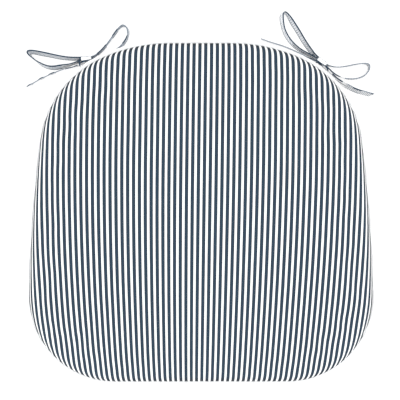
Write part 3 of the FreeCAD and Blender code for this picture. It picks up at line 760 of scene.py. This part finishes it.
left_knot = make_knot("left_knot_wrap", LEFT_KNOT, LEFT_AIM, "left_bow", "left_knot")
right_knot = make_knot("right_knot_wrap", RIGHT_KNOT, RIGHT_AIM, "right_bow", "right_knot")

EXITS = {"left_outer_tie": [left_knot], "left_inner_tie": [], "right_outer_tie": [right_knot],
         "right_inner_tie": []}
for name, knots in EXITS.items():
    obj, path, length = ties[name]
    tuple(path[0])
    [tuple(p) for p in path]
    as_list(knots)


def make_anchor(name, angle, side, node):
    """Doubled tape end: sewn into the seam, out under the piping and down to the knot."""
    columns, points, layer = 9, [], []
    a = math.radians(angle)
    sideways = Vector((math.cos(a), -side * math.sin(a), 0))
    for thick in (ANCHOR_HALF_THICK, -ANCHOR_HALF_THICK):
        for step, (out, z) in enumerate(ANCHOR_COURSE):
            narrow = 1 - ANCHOR_NARROWS * (step / (len(ANCHOR_COURSE) - 1)) ** 2
            for k in range(columns):
                w = -ANCHOR_HALF_WIDE + 2 * ANCHOR_HALF_WIDE * k / (columns - 1)
                here = outside(angle, side, out, z + thick + 0.15 * math.sin(w))
                points.append(here + sideways * (w * narrow))
                share = (w + ANCHOR_HALF_WIDE) / (2 * ANCHOR_HALF_WIDE)
                layer.append((step * 1.4 * MM, share * TAPE_WIDE * MM, 0.0))
    cloth = tape(name + "_tape", hatch=0.1, middle=0.1)
    obj = add_mesh(name, points, plate_faces(len(ANCHOR_COURSE), columns), None, cloth, {"tape": layer})
    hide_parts(node)
    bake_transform(obj)


make_anchor("left_anchor_tape", LEFT_ANCHOR, -1, "left_tie_anchor")
make_anchor("right_anchor_tape", RIGHT_ANCHOR, 1, "right_tie_anchor")


# ---- cover ----
def top_height(inset, ny, x, y, along):
    return SEAM_Z + 0.4 + crowned(inset, ny) + soft(x, y, inset, along)


def bottom_height(inset, ny, x, y, along):
    rest = SEAM_Z - 0.4 - underside(inset, ny)
    return max(0.25, rest + 0.35 * soft(x, -y, inset, along))


def blown_up(height):
    """How stuffing pressure moves the cover: cloth held along the seam, simulated on every few spokes.
    Gives an offset in mm for each point of the full sheet, capped at SIM_CAP."""
    spokes, scene = SPOKES // SIM_EVERY, bpy.context.scene
    points, faces, _ = blanket(height, spokes=spokes)
    sheet = add_mesh("blown_up", points, faces)
    fix_normals(sheet, True)
    held = sheet.vertex_groups.new(name="held")
    held.add(list(range(SIM_HELD_RINGS * spokes)), 1.0, "REPLACE")
    modifier = sheet.modifiers.new("cloth", "CLOTH")
    cloth = modifier.settings
    cloth.quality = 5
    cloth.mass = 0.3
    cloth.tension_stiffness = cloth.compression_stiffness = 30.0
    cloth.shear_stiffness = 8.0
    cloth.bending_stiffness = 1.0
    cloth.shrink_min = -SIM_SPARE
    cloth.use_pressure = True
    cloth.uniform_pressure_force = SIM_PRESSURE
    cloth.vertex_group_mass = "held"
    cloth.effector_weights.gravity = 0.0
    modifier.collision_settings.use_collision = False
    modifier.collision_settings.use_self_collision = False
    for frame_number in range(1, SIM_FRAMES + 1):
        scene.frame_set(frame_number)
    after = sheet.evaluated_get(bpy.context.evaluated_depsgraph_get()).to_mesh()
    moves = [v.co / MM - before for v, before in zip(after.vertices, points)]
    moves = [m * (SIM_CAP / max(m.length, 1e-9) * math.tanh(m.length / SIM_CAP)) for m in moves]
    moves = [Vector((m.x * SIM_SIDEWAYS, m.y * SIM_SIDEWAYS, m.z)) for m in moves]
    bpy.data.objects.remove(sheet)
    scene.frame_set(1)
    full = []
    for ring in range(len(INSETS) + len(SHRINKS)):
        for k in range(SPOKES):
            c, share = k // SIM_EVERY, (k % SIM_EVERY) / SIM_EVERY
            a, b = moves[ring * spokes + c], moves[ring * spokes + (c + 1) % spokes]
            full.append(a.lerp(b, share))
    return full + [moves[-1]]


def fix_normals(obj, up):
    """Turn every face the way its sheet should look."""
    mesh = bmesh.new()
    mesh.from_mesh(obj.data)
    if (sum(f.normal.z for f in mesh.faces) > 0) != up:
        bmesh.ops.reverse_faces(mesh, faces=mesh.faces)
    mesh.to_mesh(obj.data)
    mesh.free()


points, faces, layers = blanket(top_height)
crown = max(p.z for p in points)
points = [p + m for p, m in zip(points, blown_up(top_height))]
spread = (crown - SEAM_Z) / (max(p.z for p in points) - SEAM_Z)
for p in points:
    p.z = SEAM_Z + (p.z - SEAM_Z) * spread
top = add_mesh("top_cover", points, faces, "pad", TICKING, layers)
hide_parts("top_panel")
fix_normals(top, True)


def on_slot_edge(place):
    """Whether a place of the bottom cover lies on a long edge of the zip's slot."""
    off = abs(abs(place.y - ZIP_Y) - SLOT_HALF)
    return abs(place.x) < ZIP_HALF + 0.01 and off < 0.01 and place.z < 5


def split_bottom():
    """Bottom cover in two panels, with the zip's slot folded in between them."""
    points, faces, layers = blanket(bottom_height,
                                    stripe=lambda x, y: stripe_index(x, min(y, EASE_FROM)) + 0.35)
    for name, rear in (("bottom_rear_cover", True), ("bottom_front_cover", False)):
        obj = add_mesh(name, points, faces, None, TICKING, layers)
        fix_normals(obj, False)
        mesh = bmesh.new()
        mesh.from_mesh(obj.data)
        for at, normal in (((0, ZIP_Y, 0), (0, 1, 0)), ((0, ZIP_Y - SLOT_HALF, 0), (0, 1, 0)),
                           ((0, ZIP_Y + SLOT_HALF, 0), (0, 1, 0)), ((-ZIP_HALF, 0, 0), (1, 0, 0)),
                           ((ZIP_HALF, 0, 0), (1, 0, 0))):
            geometry = mesh.verts[:] + mesh.edges[:] + mesh.faces[:]
            bmesh.ops.bisect_plane(mesh, geom=geometry, dist=1e-7, plane_co=[c * MM for c in at],
                                   plane_no=normal)
        doomed = []
        for f in mesh.faces:
            c = f.calc_center_median() / MM
            in_slot = abs(c.x) < ZIP_HALF and abs(c.y - ZIP_Y) < SLOT_HALF
            if in_slot or (c.y > ZIP_Y) != rear:
                doomed.append(f)
        bmesh.ops.delete(mesh, geom=doomed, context="FACES")
        lip = [e for e in mesh.edges if e.is_boundary and all(on_slot_edge(v.co / MM) for v in e.verts)]
        turn = 1 if rear else -1
        for out, up in HEM_STEPS:
            made = bmesh.ops.extrude_edge_only(mesh, edges=lip)["geom"]
            moved = [g for g in made if isinstance(g, bmesh.types.BMVert)]
            sign = turn if up < 0.2 else -turn
            bmesh.ops.translate(mesh, verts=moved, vec=(0, sign * out * MM, up * MM))
            lip = [g for g in made if isinstance(g, bmesh.types.BMEdge)]
        mesh.to_mesh(obj.data)
        mesh.free()
        obj.data.polygons.foreach_set("use_smooth", [True] * len(obj.data.polygons))
        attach(obj, "pad")
    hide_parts("bottom_rear_panel")
    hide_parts("bottom_front_panel")


split_bottom()


# ---- piping ----
def make_piping():
    """Bias-cut piping all round, slightly uneven."""
    count, sides, layer = 900, 16, []
    step = 2 * HALF_ROUND / count
    line = []
    for k in range(count):
        x, y, nx, ny = seam_point(k * step)
        line.append(Vector((x + nx * PIPING_OUT, y + ny * PIPING_OUT, SEAM_Z)))

    def ring(i, here, across, up):
        places = []
        s = i * step
        for k in range(sides):
            t = TAU * k / sides
            radius = PIPING_RADIUS * (1 + 0.045 * noise.noise(Vector((s / 7, math.cos(t), math.sin(t))))
                                      + 0.012 * math.sin(s / 1.3 + t))
            places.append(here + across * (radius * math.cos(t)) + up * (radius * math.sin(t)))
            layer.append((s * MM, PIPING_RADIUS * t * MM, 0.0))
        return places

    points, faces = swept(line, sides, ring, closed=True)
    obj = add_mesh("piping_tube", points, faces, "pad", WHITE_BIAS, {"bias": layer})
    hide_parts("piping_cover")
    points, faces = wire(line[::3], FILLER_RADIUS, 8, closed=True)
    cord = add_mesh("piping_filler", points, faces, "pad", thread("filler_cotton", (0.80, 0.78, 0.72)))
    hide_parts("piping_cord")


make_piping()


# ---- filling ----
def over_zip(x, y):
    """How fully the wadding is lifted over the zip at a place, 0 to 1."""
    beside = max(abs(y - ZIP_Y) - ZIP_CLEAR_HALF, abs(x) - ZIP_HALF - ZIP_CLEAR_HALF)
    return min(1.0, max(0.0, 1 - beside / ZIP_CLEAR_SLOPE))


def fill_sheet(gap, top_side):
    """A sheet of the filling, that far inside the upper or the lower cover."""
    inside = FILL_IN + gap

    def height(inset, ny, x, y, along):
        d = max(0.0, inset - inside)
        if top_side:
            return SEAM_Z + FILL_RIM + max(0.0, crowned(d, ny) - FILL_RIM - gap * 0.9)
        level = max(FILL_REST + gap, SEAM_Z - FILL_RIM - max(0.0, underside(d, ny) - FILL_RIM - gap))
        return level + max(0.0, ZIP_CLEAR_Z - level) * over_zip(x, y)
    return blanket(height, inside, FILL_SPOKES)[:2]


def make_block(name, node, look, upper, lower):
    """A closed soft block between an upper and a lower sheet."""
    points, faces = joined([(upper[0], [f[::-1] for f in upper[1]]), lower])
    shift = len(upper[0])
    for k in range(FILL_SPOKES):
        after = (k + 1) % FILL_SPOKES
        faces.append((k + shift, after + shift, after, k))
    obj = add_mesh(name, points, faces, "pad", look)
    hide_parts(node)


def make_filling():
    """Foam core between two wadding layers, inside the cover."""
    fleece_look = fleece()
    make_block("top_wadding", "wadding_top", fleece_look,
               fill_sheet(WADDING_TOP, True), fill_sheet(WADDING_INNER, True))
    make_block("bottom_wadding", "wadding_bottom", fleece_look,
               fill_sheet(WADDING_INNER, False), fill_sheet(WADDING_BOTTOM, False))
    make_block("foam_block", "foam_core", foam(),
               fill_sheet(FOAM_GAP, True), fill_sheet(FOAM_GAP, False))


make_filling()


# ---- zip ----
def make_zip():
    coil_look, metal_look = nylon(), metal()
    for name, side in (("front", -1), ("rear", 1)):
        columns, rows, points, layer = 60, 5, [], []
        for level in ZIP_TAPE_LEVELS:
            for r in range(rows):
                y = ZIP_Y + side * (ZIP_TAPE_IN + ZIP_TAPE_WIDE * r / (rows - 1))
                for c in range(columns):
                    x = -ZIP_TAPE_HALF + 2 * ZIP_TAPE_HALF * c / (columns - 1)
                    points.append((x, y, level + 0.05 * math.sin(x / 9 + r)))
                    layer.append((x * MM, y * MM, 0.0))
        band = add_mesh(f"zip_band_{name}", points, plate_faces(rows, columns), "pad", ZIP_TWILL,
                        {"bias": layer})
        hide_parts(f"zip_tape_{name}")

        steps, line = 8, []
        first = -TEETH_LONG / 2 + (TOOTH_PITCH / 2 if side > 0 else 0.0)
        for k in range(int(TEETH_LONG / TOOTH_PITCH) * steps + 1):
            t = TAU * k / steps
            line.append(Vector((first + TOOTH_PITCH * k / steps,
                                ZIP_Y + side * (TOOTH_FROM - TOOTH_WIDE * math.cos(t)),
                                TOOTH_Z + TOOTH_HIGH * math.sin(t))))
        points, faces = wire(line, TOOTH_WIRE, 5)
        coil = add_mesh(f"zip_teeth_{name}", points, faces, "pad", coil_look)
        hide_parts(f"zip_coil_{name}")
    for node in ("zip_slider", "zip_pull", "zip_end_stops"):
        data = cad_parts[node].data
        data.materials.clear()
        data.materials.append(metal_look)


make_zip()


def stitch(a, b):
    """One raised stitch between two points."""
    line = [a.lerp(b, t) for t in (0.0, 0.2, 0.5, 0.8, 1.0)]

    def ring(i, here, across, up):
        turns = [TAU * k / 6 for k in range(6)]
        return [here + (across * math.cos(t) + up * math.sin(t)) * STITCH_RADII[i] for t in turns]
    return swept(line, 6, ring)


def make_stitches():
    """Topstitching round the zip slot."""
    parts = []
    along, out = ZIP_HALF + 3, SLOT_HALF + STITCH_OUT
    corners = [Vector((x, ZIP_Y + y, STITCH_Z)) for x, y in ((-along, -out), (along, -out), (along, out),
                                                             (-along, out))]
    for a, b in zip(corners, corners[1:] + corners[:1]):
        count = round((b - a).length / STITCH_PITCH)
        parts += [stitch(a.lerp(b, (k + 0.14) / count), a.lerp(b, (k + 0.86) / count)) for k in range(count)]
    points, faces = joined(parts)
    add_mesh("zip_topstitching", points, faces, "pad", THREAD)


make_stitches()


# ---- care label ----
def make_label():
    """Blank label folded out of the rear seam, curling a little away from the cover."""
    rows, columns, points = 18, 20, []
    for thick in (0.0, LABEL_THICK):
        for r in range(rows):
            share = r / (rows - 1)
            angle = math.radians(LABEL_TURN * share)
            for c in range(columns):
                w = -LABEL_HALF_WIDE + 2 * LABEL_HALF_WIDE * c / (columns - 1)
                radius = LABEL_ROLL + 0.35 + thick + 0.9 * share ** 2 * (1 + 0.4 * math.sin(w / 6.0))
                points.append((w, REAR_Y - LABEL_ROLL + radius * math.cos(angle),
                               LABEL_TOP - radius * math.sin(angle) * 0.97))
    obj = add_mesh("blank_label", points, plate_faces(rows, columns), "pad", satin())
    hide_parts("care_label")


make_label()


# ---- floor and light ----
def make_studio():
    look = Look("floor", roughness=0.9, specular=0.0)
    look.shader.inputs["Emission Color"].default_value = (1.0, 1.0, 1.0, 1.0)
    look.shader.inputs["Emission Strength"].default_value = 0.80
    look.finish((0.24, 0.24, 0.24, 1.0))
    corners = [(x * FLOOR_HALF, y * FLOOR_HALF, 0) for x, y in ((-1, -1), (1, -1), (1, 1), (-1, 1))]
    floor = add_mesh("floor", corners, [(0, 1, 2, 3)], None, look.material, smooth=False)
    world = bpy.data.worlds.new("studio")
    world.use_nodes = True
    tree = world.node_tree
    height = tree.nodes.new("ShaderNodeSeparateXYZ")
    tree.links.new(tree.nodes.new("ShaderNodeTexCoord").outputs["Generated"], height.inputs[0])
    sky = tree.nodes.new("ShaderNodeMapRange")      # bright walls round a dimmer ceiling
    sky.interpolation_type = "SMOOTHSTEP"
    for socket, value in zip(sky.inputs, (0.0, 0.35, 0.75, 1.2, 0.5)):
        socket.default_value = value
    tree.links.new(height.outputs["Z"], sky.inputs[0])
    tree.nodes["Background"].inputs["Color"].default_value = (1.0, 1.0, 1.0, 1.0)
    tree.links.new(sky.outputs[0], tree.nodes["Background"].inputs["Strength"])
    bpy.context.scene.world = world
    for place, size, power in LAMPS:
        data = bpy.data.lights.new("softbox", "AREA")
        data.size = size
        data.energy = power
        lamp = bpy.data.objects.new("softbox", data)
        lamp.location = place
        lamp.rotation_euler = (-Vector(place)).to_track_quat("-Z", "Y").to_euler()
        bpy.context.scene.collection.objects.link(lamp)
    bpy.context.scene.view_settings.view_transform = "Standard"


make_studio()
